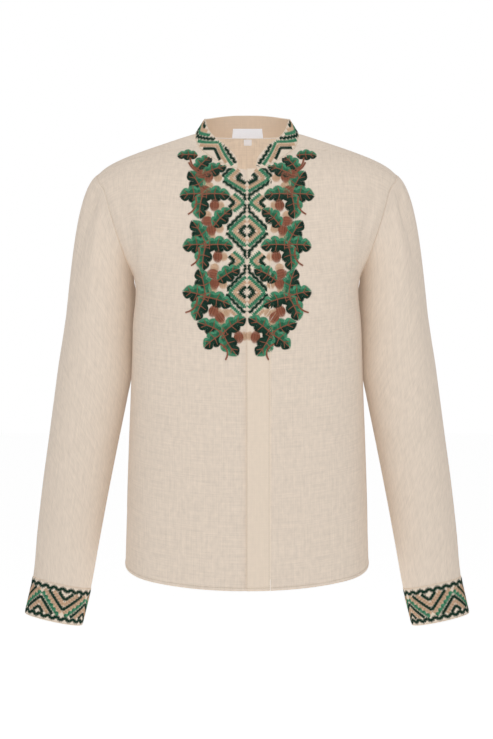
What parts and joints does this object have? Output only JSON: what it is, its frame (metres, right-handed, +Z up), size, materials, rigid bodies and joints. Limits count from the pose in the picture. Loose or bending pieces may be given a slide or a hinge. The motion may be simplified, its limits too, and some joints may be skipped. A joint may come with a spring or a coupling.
{
  "type": "embroidered linen shirt",
  "caption": "Hollow long-sleeved linen shirt with a notched stand collar, a concealed placket, a back yoke and cuff bands, held open as worn.",
  "frame": {"origin": "between the two points where the shoulders meet the collar, where the wearer's shoulders carry the shirt", "axes": "+Z up from hem to collar, -Y is the front, +X is the wearer's left"},
  "size_m": [0.6806, 0.2635, 0.7915],
  "materials": {
    "linen": "plain-woven cream linen",
    "doubled_linen": "cream linen, two layers",
    "woven_label": "smooth white woven ribbon"
  },
  "bodies": {
    "root": {"front_left": "linen", "front_right": "linen", "back": "linen", "yoke": "linen", "sleeve_left": "linen", "sleeve_right": "linen", "placket": "doubled_linen", "cuff_left": "doubled_linen", "cuff_right": "doubled_linen", "collar": "doubled_linen", "neck_label": "woven_label", "size_tab": "woven_label"}
  },
  "joints": []
}
